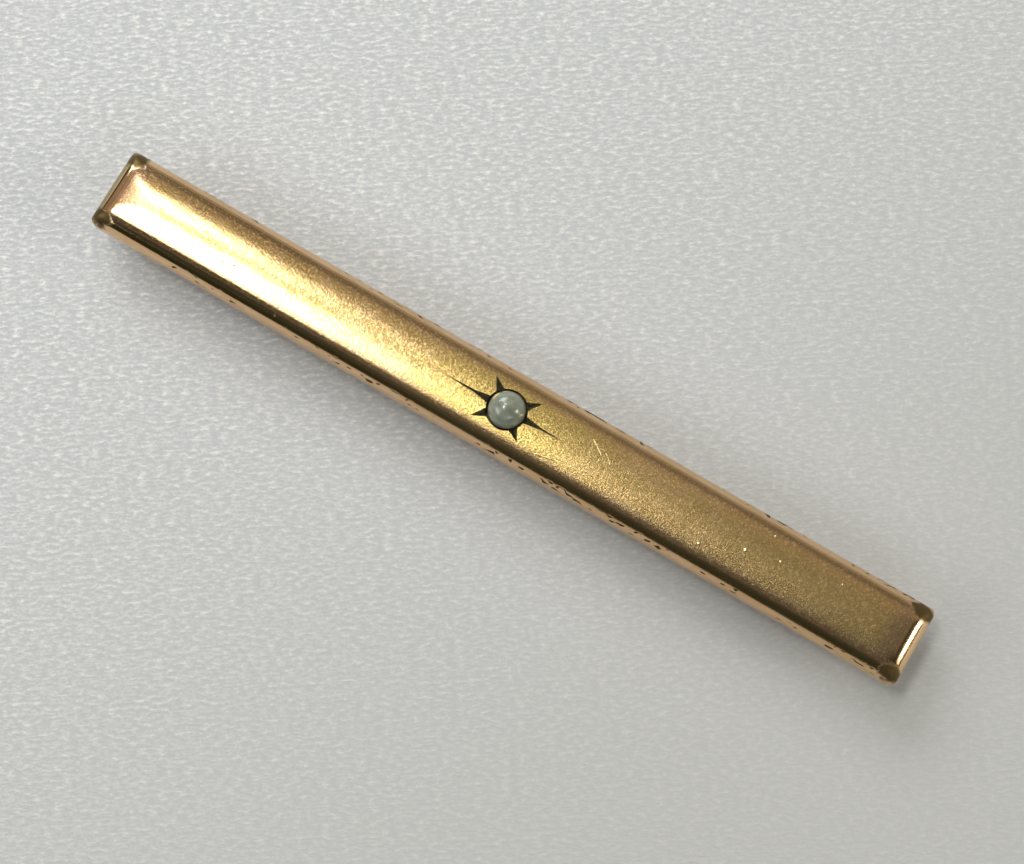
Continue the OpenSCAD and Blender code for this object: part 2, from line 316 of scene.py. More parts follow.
# %% Make the struck gold
def struck_gold():
    """Gold whose colour, gloss and relief follow masks for the shoulder, the ends, the star and the worn places."""
    finish, tree, shader = new_finish("struck_rolled_gold")
    place = millimetres(tree)
    axes = tree.nodes.new("ShaderNodeSeparateXYZ")
    wire(tree, place, axes.inputs[0])
    x, y, z = axes.outputs
    out_along = calc(tree, "ABSOLUTE", x)
    out_across = calc(tree, "ABSOLUTE", y)
    wander = grain(tree, millimetres(tree, (0.4, 1, 1)), 1.1, 3.0)
    across = calc(tree, "MULTIPLY_ADD", wander, 0.10, calc(tree, "SUBTRACT", out_across, 0.05))
    shoulder = step(tree, across, width_mm - 0.78, width_mm - 0.36)
    end = step(tree, out_along, length_mm - 1.15, length_mm - 0.65)
    polished = calc(tree, "MAXIMUM", shoulder, end)
    near_star = step(tree, distance(tree, x, y), 1.0, 8.0, 1.0, 0.0)

    # colours: olive and straw gold on the face, rose on the polished edge, and a painted mauve reflection before each
    # end
    cloud = step(tree, grain(tree, millimetres(tree, (0.35, 1, 1)), 1.3, 4.0, 0.6), 0.36, 0.64)
    fine = grain(tree, place, 13.0, 2.0, 0.7)
    face = tint(tree, cloud, OLD_GOLD, STRAW)
    # painted sheen: the face is tinted a brighter yellow within a few millimetres of the star
    face = tint(tree, calc(tree, "MULTIPLY", near_star, 0.80), face, PAINTED_STAR_SHEEN)
    # painted shade: the face is tinted darker towards the right end, away from the window
    right = step(tree, x, 4.0, 20.0, 0.0, 0.55)
    face = tint(tree, right, face, PAINTED_RIGHT_SHADE)
    # painted reflection: a mauve band is tinted in before each end, where the rounded end reflects the dim room
    painted_reflection_by_ends = calc(tree, "MULTIPLY", step(tree, out_along, length_mm - 2.4, length_mm - 1.3), 0.7)
    face = tint(tree, painted_reflection_by_ends, face, PAINTED_MAUVE_REFLECTION)
    # painted shade: a darker rose-brown band along both long edges, where the face starts to turn down into the
    # shoulder
    near_edge = step(tree, across, width_mm - 1.25, width_mm - 0.80, 0.0, 0.7)
    face = tint(tree, near_edge, face, PAINTED_EDGE_SHADE)
    grit = grain(tree, place, 8.0, 1.0, 0.6)
    coarse = step(tree, x, -22.0, -6.0, 0.45, 1.0)
    face = tint(tree, step(tree, grit, 0.34, 0.60, 0.55, 0.0), face, GRIT_LOW)
    # painted glints: the highest grains of the grit are tinted a pale yellow, brighter than the gold around them
    face = tint(tree, step(tree, grit, 0.58, 0.70, 0.0, 0.55), face, PAINTED_GRIT_GLINT)
    edge = tint(tree, cloud, ROSE_GOLD, PALE_ROSE)
    colour = tint(tree, polished, face, edge)
    # painted reflection: a dark olive band is tinted along the left end, with less metal there so the colour shows
    painted_reflection_left_end = step(tree, x, -length_mm + 0.15, -length_mm + 0.55, 0.9, 0.0)
    colour = tint(tree, painted_reflection_left_end, colour, PAINTED_LEFT_END_REFLECTION)

    # wear: dark specks where the wall meets the shoulder, in some stretches more than in others
    speck_noise = grain(tree, millimetres(tree, (0.75, 1.2, 1.7)), 3.1, 0.0, 0.5)
    stretches = grain(tree, millimetres(tree, (1, 0.2, 0.2)), 0.38, 2.0)
    at_edge = step(tree, out_across, width_mm - 0.30, width_mm - 0.22)
    busier = step(tree, x, -22.0, 12.0, 0.05, 0.0)
    speck_level = calc(tree, "ADD", calc(tree, "MULTIPLY_ADD", stretches, -0.55, 0.93), busier)
    speck = step(tree, calc(tree, "SUBTRACT", speck_noise, speck_level), 0.0, 0.02)
    high_up = step(tree, z, rim_z / MM + 0.62, rim_z / MM + 0.80)
    speck = calc(tree, "MULTIPLY", speck, calc(tree, "MULTIPLY", at_edge, high_up))

    # soil in the four corners, with a ragged edge
    ragged = grain(tree, place, 2.4, 3.0, 0.6)
    in_x = calc(tree, "MULTIPLY", calc(tree, "SUBTRACT", out_along, length_mm - 0.62), 0.7)
    in_y = calc(tree, "SUBTRACT", out_across, width_mm - 0.50)
    spread = calc(tree, "ADD", calc(tree, "MULTIPLY", wander, 0.45), calc(tree, "MULTIPLY", ragged, 0.50))
    soil = step(tree, calc(tree, "SUBTRACT", distance(tree, in_x, in_y), spread), -0.14, 0.08, 0.93, 0.0)

    # pits: one to a cell, only in some cells, thickest on the left half
    pits = tree.nodes.new("ShaderNodeTexVoronoi")
    pits.inputs["Scale"].default_value = 1.8
    wire(tree, millimetres(tree, (1, 1, 0)), pits.inputs["Vector"])
    chosen = tree.nodes.new("ShaderNodeSeparateColor")
    wire(tree, pits.outputs["Color"], chosen.inputs[0])
    luck = step(tree, x, -16.0, 2.0, 0.50, 0.93)
    keep = step(tree, calc(tree, "SUBTRACT", chosen.outputs[0], luck), 0.0, 0.02)
    size = calc(tree, "MULTIPLY_ADD", chosen.outputs[1], 0.060, 0.050)
    pit = step(tree, calc(tree, "SUBTRACT", pits.outputs["Distance"], size), -0.02, 0.02, 1.0, 0.0)
    pit = calc(tree, "MULTIPLY", pit, keep)

    dark = calc(tree, "MAXIMUM", calc(tree, "MAXIMUM", speck, soil), calc(tree, "MULTIPLY", pit, 0.85))
    colour = tint(tree, dark, colour, SOIL)

    # bright dents and long scratches
    dents = scratches = None
    for dent_x, dent_y, dent_r in DENTS:
        away = distance(tree, calc(tree, "SUBTRACT", x, dent_x), calc(tree, "SUBTRACT", y, dent_y))
        one = step(tree, away, 0.0, dent_r * 1.1, 1.0, 0.0)
        dents = one if dents is None else calc(tree, "MAXIMUM", dents, one)
    for middle_x, middle_y, lean, half in SCRATCHES:
        dx = calc(tree, "SUBTRACT", x, middle_x)
        dy = calc(tree, "SUBTRACT", y, middle_y)
        c, s = math.cos(lean), math.sin(lean)
        along = calc(tree, "ADD", calc(tree, "MULTIPLY", dx, c), calc(tree, "MULTIPLY", dy, s))
        off = calc(tree, "SUBTRACT", calc(tree, "MULTIPLY", dy, c), calc(tree, "MULTIPLY", dx, s))
        one = calc(tree, "MULTIPLY", step(tree, calc(tree, "ABSOLUTE", off), 0.0, 0.035, 1.0, 0.0),
                   step(tree, calc(tree, "ABSOLUTE", along), half * 0.7, half, 1.0, 0.0))
        scratches = one if scratches is None else calc(tree, "MAXIMUM", scratches, one)
    marks = calc(tree, "MAXIMUM", dents, calc(tree, "MULTIPLY", scratches, 0.6))
    colour = tint(tree, marks, colour, BURNISHED)
    wire(tree, colour, shader.inputs["Base Color"])

    # gloss and relief
    metal_level = calc(tree, "MULTIPLY_ADD", painted_reflection_left_end, -0.5, 1.0)
    wire(tree, calc(tree, "MULTIPLY_ADD", dark, -0.12, metal_level), shader.inputs["Metallic"])
    rough = calc(tree, "MULTIPLY_ADD", fine, 0.12, 0.11)
    rough = calc(tree, "ADD", rough, step(tree, x, -20.0, 0.0, 0.0, 0.09))
    rough = calc(tree, "MULTIPLY_ADD", polished, -0.08, rough)
    rough = calc(tree, "MULTIPLY_ADD", dark, 0.35, rough)
    wire(tree, rough, shader.inputs["Roughness"])
    unpolished = calc(tree, "MULTIPLY_ADD", polished, -0.88, 1.0)
    stipple = calc(tree, "MULTIPLY", grain(tree, place, 15.0, 1.0, 0.8), unpolished)
    bump = relief(tree, stipple, STIPPLE_DEPTH)
    grit = calc(tree, "MULTIPLY", grit, calc(tree, "MULTIPLY", unpolished, coarse))
    bump = relief(tree, grit, GRIT_DEPTH, bump)
    bump = relief(tree, grain(tree, millimetres(tree, (0.15, 1, 1)), 1.0, 1.0), WAVE_DEPTH, bump)
    bump = relief(tree, calc(tree, "SUBTRACT", marks, dark), MARK_DEPTH, bump)
    wire(tree, bump, shader.inputs["Normal"])
    return finish


struck = struck_gold()
print("the struck gold has", len(struck.node_tree.nodes), "nodes")

# %% [markdown]
# ## Cut metal, pearl, cement and cloth
# The rays were cut with a graver and have gone nearly black with old polish and skin grease. The pearl is a
# grey-green freshwater half pearl: a soft body with a clear, glossy skin, so a coat lies over a slightly waxy
# base. The cement bed is matt and stained. The cloth is a pale satin whose weave is so fine that only a faint
# twill shows.

# %% Make the other finishes
def cut_metal():
    finish, tree, shader = new_finish("blackened_cut")
    place = millimetres(tree)
    crust = grain(tree, place, 7.0, 4.0, 0.7)
    wire(tree, tint(tree, step(tree, crust, 0.38, 0.68), (0.035, 0.036, 0.022, 1), (0.17, 0.14, 0.065, 1)),
         shader.inputs["Base Color"])
    shader.inputs["Metallic"].default_value = 0.55
    wire(tree, calc(tree, "MULTIPLY_ADD", crust, 0.35, 0.30), shader.inputs["Roughness"])
    wire(tree, relief(tree, crust, 0.000010), shader.inputs["Normal"])
    return finish


def nacre():
    finish, tree, shader = new_finish("grey_green_nacre")
    place = millimetres(tree)
    cloud = grain(tree, place, 1.6, 3.0, 0.55)
    skin = grain(tree, place, 22.0, 2.0, 0.6)
    body = tint(tree, step(tree, cloud, 0.35, 0.65), (0.19, 0.225, 0.165, 1), (0.31, 0.34, 0.265, 1))
    # painted shade: the base colour is tinted darker towards the pearl's edge, as the surface turns away from the
    # camera
    rim = tree.nodes.new("ShaderNodeLayerWeight")
    rim.inputs["Blend"].default_value = 0.35
    body = tint(tree, calc(tree, "MULTIPLY", rim.outputs["Facing"], 0.5), body, (0.22, 0.26, 0.235, 1))
    wire(tree, body, shader.inputs["Base Color"])
    wire(tree, calc(tree, "MULTIPLY_ADD", skin, 0.10, 0.26), shader.inputs["Roughness"])
    shader.inputs["Specular IOR Level"].default_value = 0.75
    shader.inputs["Coat Weight"].default_value = 0.8
    shader.inputs["Coat Roughness"].default_value = 0.14
    shader.inputs["Subsurface Weight"].default_value = 0.12
    shader.inputs["Subsurface Scale"].default_value = 0.0003
    wire(tree, relief(tree, skin, 0.0000012, relief(tree, cloud, 0.000018)), shader.inputs["Normal"])
    return finish


def old_cement():
    finish, tree, shader = new_finish("stained_cement")
    place = millimetres(tree)
    crumbs = grain(tree, place, 6.0, 5.0, 0.65)
    stain = grain(tree, place, 1.7, 3.0, 0.6)
    colour = tint(tree, step(tree, crumbs, 0.35, 0.7), (0.11, 0.10, 0.075, 1), (0.30, 0.27, 0.20, 1))
    wire(tree, tint(tree, step(tree, stain, 0.4, 0.65), colour, (0.04, 0.04, 0.028, 1)), shader.inputs["Base Color"])
    wire(tree, calc(tree, "MULTIPLY_ADD", crumbs, 0.25, 0.62), shader.inputs["Roughness"])
    wire(tree, relief(tree, crumbs, 0.00002), shader.inputs["Normal"])
    return finish


def satin_cloth():
    finish, tree, shader = new_finish("pale_satin")
    twill = grain(tree, millimetres(tree, (0.60, 1.6, 1), (0, 0, math.radians(34))), 3.3, 2.0, 0.6)
    thread = grain(tree, millimetres(tree), 6.0, 2.0, 0.7)
    place = tree.nodes.new("ShaderNodeSeparateXYZ")
    wire(tree, millimetres(tree), place.inputs[0])
    lean = calc(tree, "MULTIPLY_ADD", place.outputs[1], -0.5, place.outputs[0])
    colour = tint(tree, step(tree, twill, 0.38, 0.68), (0.62, 0.645, 0.68, 1), (0.90, 0.90, 0.91, 1))
    colour = tint(tree, step(tree, thread, 0.35, 0.60, 0.40, 0.0), colour, (0.52, 0.56, 0.58, 1))
    # painted glints: the highest twill threads are tinted white
    colour = tint(tree, step(tree, twill, 0.62, 0.70), colour, (1.0, 1.0, 1.0, 1))
    # painted shade: the cloth is tinted darker along a slant across the sheet, as light falling off away from the
    # window would make it
    colour = tint(tree, step(tree, lean, -34.0, 34.0, 0.0, 0.85), colour, (0.56, 0.565, 0.56, 1))
    wire(tree, colour, shader.inputs["Base Color"])
    shader.inputs["Roughness"].default_value = 0.5
    shader.inputs["Specular IOR Level"].default_value = 0.4
    wire(tree, relief(tree, twill, 0.000030), shader.inputs["Normal"])
    return finish


blackened = cut_metal()
pearl_skin = nacre()
cement_finish = old_cement()
cloth_finish = satin_cloth()
print("finishes:", len(bpy.data.materials))

# %% [markdown]
# ## Mesh helpers
# Every piece ends as a plain mesh at the origin with its place in its points. `settle` freezes an object's
# modifiers into its mesh, and `soften` sets smooth shading with crisp breaks where faces meet at more than a
# given angle.

# %% Mesh helpers
def new_piece(name, mesh, finish=None):
    piece = bpy.data.objects.new(name, mesh)
    bpy.context.scene.collection.objects.link(piece)
    if finish is not None:
        mesh.materials.clear()
        mesh.materials.append(finish)
    return piece


def settle(piece):
    """Turns what the modifiers make into the piece's own mesh."""
    evaluated = piece.evaluated_get(bpy.context.evaluated_depsgraph_get())
    mesh = bpy.data.meshes.new_from_object(evaluated)
    mesh.name = piece.name
    old = piece.data
    piece.modifiers.clear()
    piece.data = mesh
    if old.users == 0:
        bpy.data.meshes.remove(old)
    return piece


def soften(piece, angle=30.0):
    piece.data.polygons.foreach_set("use_smooth", [True] * len(piece.data.polygons))
    piece.data.set_sharp_from_angle(angle=math.radians(angle))
    return piece


def lathe(name, profile, middle, axis="Z", steps=96, finish=None):
    """Turns a profile of (radius, height) points round an axis through the middle, with the ends closed at radius 0."""
    bm = bmesh.new()
    rings = []
    for radius, height in profile:
        if radius < 1e-9:
            rings.append([bm.verts.new((0, 0, height))])
        else:
            rings.append([bm.verts.new((radius * math.cos(2 * math.pi * k / steps),
                                        radius * math.sin(2 * math.pi * k / steps), height)) for k in range(steps)])
    for low, high in zip(rings, rings[1:]):
        for k in range(steps):
            a, b = low[k % len(low)], low[(k + 1) % len(low)]
            c, d = high[(k + 1) % len(high)], high[k % len(high)]
            corners = list(dict.fromkeys((a, b, c, d)))
            if len(corners) > 2:
                bm.faces.new(corners)
    if axis == "Y":
        bmesh.ops.rotate(bm, verts=bm.verts, matrix=Matrix.Rotation(math.radians(-90), 3, "X"))
    bmesh.ops.translate(bm, verts=bm.verts, vec=middle)
    bmesh.ops.recalc_face_normals(bm, faces=bm.faces)
    mesh = bpy.data.meshes.new(name)
    bm.to_mesh(mesh)
    bm.free()
    return new_piece(name, mesh, finish)


print("mesh helpers ready")

# %% [markdown]
# ## The bar's front
# The real front is one strip pressed between dies: a shallow arch across, quick round shoulders, and four
# soft corners. A cube with bevels could pass from far away, but here the window's reflection runs the whole
# length, so the surface must be smooth in slope as well as in place. So the height of every point is worked
# out from the two sections, blended at the corners, and rings that follow the outline carry the points
# inwards, closest together where the shoulder turns fastest.

# %% Work out the height of the face
CROWN = 8.0 * MM
SHOULDER = 1.1 * MM
END_ROUND = 0.95 * MM
END_ROLL = 2.6 * MM
END_SAG = 0.19 * MM
CORNER = 0.45 * MM
SHEET = 0.3 * MM
CORNER_BLEND = 2.6


def face_height(x, y):
    """Height of the outer face over the feet, at a place seen from above."""
    side = half_width - SHOULDER
    ay = min(abs(y), half_width)
    if ay <= CROWN * side / (CROWN - SHOULDER):
        across = CROWN - math.sqrt(CROWN ** 2 - ay ** 2)
    else:
        centre_drop = CROWN - math.sqrt((CROWN - SHOULDER) ** 2 - side ** 2)
        across = centre_drop - math.sqrt(max(SHOULDER ** 2 - (ay - side) ** 2, 0.0))
    past = max(abs(x) - (half_length - END_ROUND), 0.0)
    along = END_ROUND - math.sqrt(max(END_ROUND ** 2 - past ** 2, 0.0))
    rolled = max(abs(x) - (half_length - END_ROLL), 0.0) / END_ROLL
    along += END_SAG * rolled ** 2
    drop = (across ** CORNER_BLEND + along ** CORNER_BLEND) ** (1 / CORNER_BLEND)
    return face_z - drop


print("height at the middle", round(face_height(0, 0) / MM, 3))
print("height at the side", round(face_height(0, half_width) / MM, 3))


# %% Draw the outline rings
def outline(inset, long_steps=230, short_steps=14, corner_steps=8):
    """A round-cornered rectangle inset from the bar's outline, always with the same number of points."""
    hx, hy = half_length - inset, max(half_width - inset, 0.0)
    r = min(CORNER + 0.25 * inset, hy)
    points = []
    for sx, sy, start in ((1, 1, 0), (-1, 1, 90), (-1, -1, 180), (1, -1, 270)):
        for k in range(corner_steps + 1):
            a = math.radians(start + 90 * k / corner_steps)
            points.append((sx * (hx - r) + r * math.cos(a), sy * (hy - r) + r * math.sin(a)))
        steps = long_steps if start in (0, 180) else short_steps
        here = points[-1]
        there = {0: (-(hx - r), hy), 90: (-hx, -(hy - r)), 180: (hx - r, -hy), 270: (hx, hy - r)}[start]
        for k in range(1, steps):
            points.append((here[0] + (there[0] - here[0]) * k / steps, here[1] + (there[1] - here[1]) * k / steps))
    return points


turns = [math.radians(90 * k / 18) for k in range(19)]
insets = [SHOULDER * (1 - math.cos(t)) for t in turns]
while insets[-1] < half_width - 0.06 * MM:
    insets.append(insets[-1] + 0.125 * MM)
insets[-1] = half_width
print(len(insets), "rings of", len(outline(0.0)), "points")

# %% Loft the outer skin
bm = bmesh.new()
rings = []
for height in (rim_z, rim_z + 0.05 * MM, rim_z + 0.12 * MM):
    rings.append([bm.verts.new((x, y, height)) for x, y in outline(0.0)])
for inset in insets:
    rings.append([bm.verts.new((x, y, face_height(x, y))) for x, y in outline(inset)])
for low, high in zip(rings, rings[1:]):
    for k in range(len(low)):
        n = (k + 1) % len(low)
        bm.faces.new((low[k], low[n], high[n], high[k]))
bmesh.ops.remove_doubles(bm, verts=bm.verts, dist=0.2e-6)
bmesh.ops.dissolve_degenerate(bm, edges=bm.edges, dist=0.1e-6)
bmesh.ops.recalc_face_normals(bm, faces=bm.faces)
skin_mesh = bpy.data.meshes.new("bar_front")
bm.to_mesh(skin_mesh)
bm.free()
bar_front = new_piece("bar_front", skin_mesh, struck)
wall = bar_front.modifiers.new("sheet", "SOLIDIFY")
wall.thickness = SHEET
wall.offset = -1.0
wall.use_even_offset = True
settle(bar_front)
print("bar front:", len(bar_front.data.polygons), "faces")

# %% [markdown]
# ## The star
# The setter bores a round hole, then walks round it with a lozenge graver. Each stroke is the same square
# tool, tilted so that its edge runs out of the metal at the ray's tip. That is a thing repeated with changes,
# so a Geometry Nodes tree does it: one point per stroke carries the tool's turn, and the tree sets a copy of
# the tool on each. The two long rays take two strokes each, a deep short one and a shallow long one, which
# gives them their thorn shape.

# %% List the graver's strokes
cup_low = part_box("pearl_cup")[0]
pearl_low, pearl_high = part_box("pearl")
pearl_radius = (pearl_high.x - pearl_low.x) / 2
HOLE_GAP = 0.12 * MM
hole_radius = pearl_radius + HOLE_GAP
strokes = []
for long_turn, reach in ((0, 2.32), (180, 2.55)):
    strokes.append((long_turn, 0.54 * reach * MM, 0.215 * MM))
    strokes.append((long_turn, reach * MM, 0.115 * MM))
for short_turn, reach in ((40, 0.80), (136.5, 0.82), (218.5, 0.80), (317, 0.70)):
    strokes.append((short_turn, reach * MM, 0.235 * MM))
stroke_points, stroke_angles = [], []
for turn, reach, depth in strokes:
    turn = math.radians(turn)
    tip = hole_radius + reach
    tip_drop = face_z - face_height(tip * math.cos(turn), tip * math.sin(turn))
    hole_drop = face_z - face_height(hole_radius * math.cos(turn), hole_radius * math.sin(turn))
    slope = (depth + hole_drop - tip_drop) / reach
    stroke_points.append((0, 0, face_z - tip_drop - slope * tip))
    stroke_angles.append((math.radians(45), -math.atan(slope), turn))
stroke_mesh = bpy.data.meshes.new("graver_strokes")
stroke_mesh.from_pydata(stroke_points, [], [])
angles = stroke_mesh.attributes.new("graver_turn", "FLOAT_VECTOR", "POINT")
for k, angle in enumerate(stroke_angles):
    angles.data[k].vector = angle
print(len(strokes), "strokes")


# %% Geometry Nodes helpers
def new_tree(name, inputs):
    """A geometry tree with named inputs; returns the tree and its group input node."""
    tree = bpy.data.node_groups.new(name, "GeometryNodeTree")
    tree.interface.new_socket("Geometry", in_out="INPUT", socket_type="NodeSocketGeometry")
    for label, kind in inputs:
        tree.interface.new_socket(label, in_out="INPUT", socket_type=kind)
    tree.interface.new_socket("Geometry", in_out="OUTPUT", socket_type="NodeSocketGeometry")
    return tree, tree.nodes.new("NodeGroupInput")


def close_tree(tree, shape, material_socket, smooth=True):
    """Ends a tree as the export needs it: real geometry, smooth shading and a material."""
    real = tree.nodes.new("GeometryNodeRealizeInstances")
    wire(tree, shape, real.inputs[0])
    shade = tree.nodes.new("GeometryNodeSetShadeSmooth")
    shade.inputs["Shade Smooth"].default_value = smooth
    wire(tree, real.outputs[0], shade.inputs[0])
    paint = tree.nodes.new("GeometryNodeSetMaterial")
    wire(tree, shade.outputs[0], paint.inputs["Geometry"])
    wire(tree, material_socket, paint.inputs["Material"])
    out = tree.nodes.new("NodeGroupOutput")
    wire(tree, paint.outputs[0], out.inputs[0])


def grow(piece, tree, **values):
    """Hangs the tree on the piece, sets its named inputs by their identifiers, and freezes the result."""
    modifier = piece.modifiers.new(tree.name, "NODES")
    modifier.node_group = tree
    for item in tree.interface.items_tree:
        key = item.name.replace(" ", "_").lower()
        if item.in_out == "INPUT" and key in values:
            modifier[item.identifier] = values[key]
    piece.data.update()
    settle(piece)
    return piece


print("geometry helpers ready")

# %% Build the star's tree and cut the star
star_tree, given = new_tree("graver_star", (("Tool Length", "NodeSocketFloat"), ("Tool Side", "NodeSocketFloat"),
                                            ("Material", "NodeSocketMaterial")))
tool_size = star_tree.nodes.new("ShaderNodeCombineXYZ")
wire(star_tree, given.outputs["Tool Length"], tool_size.inputs[0])
wire(star_tree, given.outputs["Tool Side"], tool_size.inputs[1])
wire(star_tree, given.outputs["Tool Side"], tool_size.inputs[2])
tool = star_tree.nodes.new("GeometryNodeMeshCube")
wire(star_tree, tool_size.outputs[0], tool.inputs["Size"])
tool_shift = star_tree.nodes.new("ShaderNodeVectorMath")
tool_shift.operation = "SCALE"
tool_shift.inputs["Scale"].default_value = 0.5
wire(star_tree, tool_size.outputs[0], tool_shift.inputs[0])
tool_place = star_tree.nodes.new("GeometryNodeTransform")
wire(star_tree, tool.outputs[0], tool_place.inputs["Geometry"])
wire(star_tree, tool_shift.outputs[0], tool_place.inputs["Translation"])
stroke_turn = star_tree.nodes.new("GeometryNodeInputNamedAttribute")
stroke_turn.data_type = "FLOAT_VECTOR"
stroke_turn.inputs["Name"].default_value = "graver_turn"
as_rotation = star_tree.nodes.new("FunctionNodeEulerToRotation")
wire(star_tree, stroke_turn.outputs[0], as_rotation.inputs[0])
set_tools = star_tree.nodes.new("GeometryNodeInstanceOnPoints")
wire(star_tree, given.outputs["Geometry"], set_tools.inputs["Points"])
wire(star_tree, tool_place.outputs[0], set_tools.inputs["Instance"])
wire(star_tree, as_rotation.outputs[0], set_tools.inputs["Rotation"])
close_tree(star_tree, set_tools.outputs[0], given.outputs["Material"], smooth=False)
star_cutter = grow(new_piece("star_cutter", stroke_mesh), star_tree,
                   tool_length=5.0 * MM, tool_side=1.0 * MM, material=blackened)
bore_top = face_z + 1 * MM
hole_cutter = lathe("hole_cutter", [(0, cup_low.z), (hole_radius, cup_low.z), (hole_radius, bore_top), (0, bore_top)],
                    (0, 0, 0), steps=128, finish=blackened)


def cut(piece, cutter, crossing=False):
    """Takes the cutter's shape out of the piece, and throws the cutter away. crossing: the cutter's parts overlap."""
    boolean = piece.modifiers.new("cut", "BOOLEAN")
    boolean.operation = "DIFFERENCE"
    boolean.solver = "EXACT"
    boolean.use_self = crossing
    boolean.material_mode = "TRANSFER"
    boolean.object = cutter
    settle(piece)
    bpy.data.objects.remove(cutter)


print("star cutter:", len(star_cutter.data.polygons), "faces", star_cutter.data.materials[:])
cut(bar_front, hole_cutter)
cut(bar_front, star_cutter, crossing=True)
soften(bar_front, 32)
print("bar front after cutting:", len(bar_front.data.polygons), "faces,", [m.name for m in bar_front.data.materials])
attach(bar_front, "bar")
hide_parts("front_shell")

# %% [markdown]
# ## The pearl and its setting
# A real half pearl is never quite round: its dome is a little flattened and its skin has slow ripples. A UV
# sphere would look like a bead, so the dome is turned from a profile and then pushed in and out by a sum of
# slow waves, always inwards of the CAD sphere. The cup and the cement are barely seen, so they keep their CAD
# shapes and only get a finish.

# %% Turn the half pearl
pearl_centre = pearl_high.z - pearl_radius
profile = [(0, pearl_low.z), (0.8 * (pearl_radius ** 2 - (pearl_centre - pearl_low.z) ** 2) ** 0.5, pearl_low.z)]
lowest = math.asin((pearl_low.z - pearl_centre) / pearl_radius)
for k in range(1, 57):
    a = lowest + (math.pi / 2 - lowest) * k / 56
    profile.append((pearl_radius * math.cos(a) if k < 56 else 0, pearl_centre + pearl_radius * math.sin(a)))
half_pearl = lathe("half_pearl", profile, (0, 0, 0), steps=112, finish=pearl_skin)
for point in half_pearl.data.vertices:
    away = point.co - Vector((0, 0, pearl_centre))
    n = away.normalized()
    ripple = math.sin(3.1 * n.x + 1.0) * math.cos(2.3 * n.y) + 0.6 * math.sin(5.0 * n.y + 2.0 * n.z + 0.7)
    point.co -= away * (0.006 + 0.0035 * ripple) * max(0.0, n.z)
soften(half_pearl, 40)
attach(half_pearl, "bar")
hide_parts("pearl")
print("pearl", round(2 * pearl_radius / MM, 2), "mm across")


# %% Finish the cup and the cement as they are
def dress(node, finish):
    """Gives a CAD node a finish and leaves its mesh alone."""
    nodes[node].data.materials.clear()
    nodes[node].data.materials.append(finish)


dress("pearl_cup", dull_gold)
dress("pearl_cement", cement_finish)
print("cup and cement finished")

# %% [markdown]
# ## Findings with tumbled edges
# Joints and catches come off the stamping press with sharp edges and are tumbled in a barrel of shot until
# the edges are round. The CAD has each shape exactly but with knife edges, so a copy of each mesh is welded,
# its flat areas are joined into single faces, and a Bevel modifier rolls the edges over by a few hundredths
# of a millimetre. The CAD node itself stays untouched and hidden.

# %% Make tumbled copies
def tumbled(node, name, finish, body, roll, angle=32.0):
    """A copy of a CAD node's mesh, welded, with its edges rolled over by so much."""
    mesh = nodes[node].data.copy()
    mesh.name = name
    bm = bmesh.new()
    bm.from_mesh(mesh)
    bmesh.ops.remove_doubles(bm, verts=bm.verts, dist=0.5e-6)
    bmesh.ops.dissolve_limit(bm, angle_limit=math.radians(1.2), verts=bm.verts, edges=bm.edges)
    bm.to_mesh(mesh)
    bm.free()
    piece = new_piece(name, mesh, finish)
    piece.data.polygons.foreach_set("use_smooth", [True] * len(piece.data.polygons))
    edge = piece.modifiers.new("tumbled_edges", "BEVEL")
    edge.width = roll
    edge.segments = 3
    edge.limit_method = "ANGLE"
    edge.angle_limit = math.radians(angle)
    edge.harden_normals = False
    settle(piece)
    soften(piece, 45)
    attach(piece, body)
    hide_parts(node)
    print(name, len(piece.data.polygons), "faces")
    return piece


tumbled("back_plate", "closing_plate", plate_gold, "bar", 0.03 * MM)
tumbled("joint_pad", "pad_under_joint", dull_gold, "bar", 0.05 * MM)
tumbled("catch_pad", "pad_under_catch", dull_gold, "bar", 0.05 * MM)
tumbled("pin_joint", "joint_ears", bright_gold, "bar", 0.035 * MM)
tumbled("pin_hub", "stem_hub", bright_gold, "pin", 0.03 * MM)
tumbled("catch_housing", "catch_tunnel", bright_gold, "bar", 0.03 * MM)
tumbled("catch_rotor", "locking_rotor", bright_gold, "rotor", 0.022 * MM)

# %% [markdown]
# ## The pin stem
# The stem is drawn wire, ground to a point at one end. Its shape follows a rule: a radius for every place
# along a line. So a Geometry Nodes tree makes it: a line, a radius that is the wire's own until the point
# begins and then shrinks evenly, a small swell of solder at the hub, and a round profile swept along it.

# %% Measure the stem
stem_low, stem_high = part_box("pin_stem")
hub_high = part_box("pin_hub")[1]
stem_radius = (stem_high.z - stem_low.z) / 2
stem_height = (stem_high.z + stem_low.z) / 2
stem_start = hub_high.x - 0.12 * MM
POINT_LENGTH = 4.0 * MM
TIP_RADIUS = 0.05 * MM
print("stem", round((stem_high.x - stem_start) / MM, 2), "mm long,", round(2 * stem_radius / MM, 2), "mm thick")

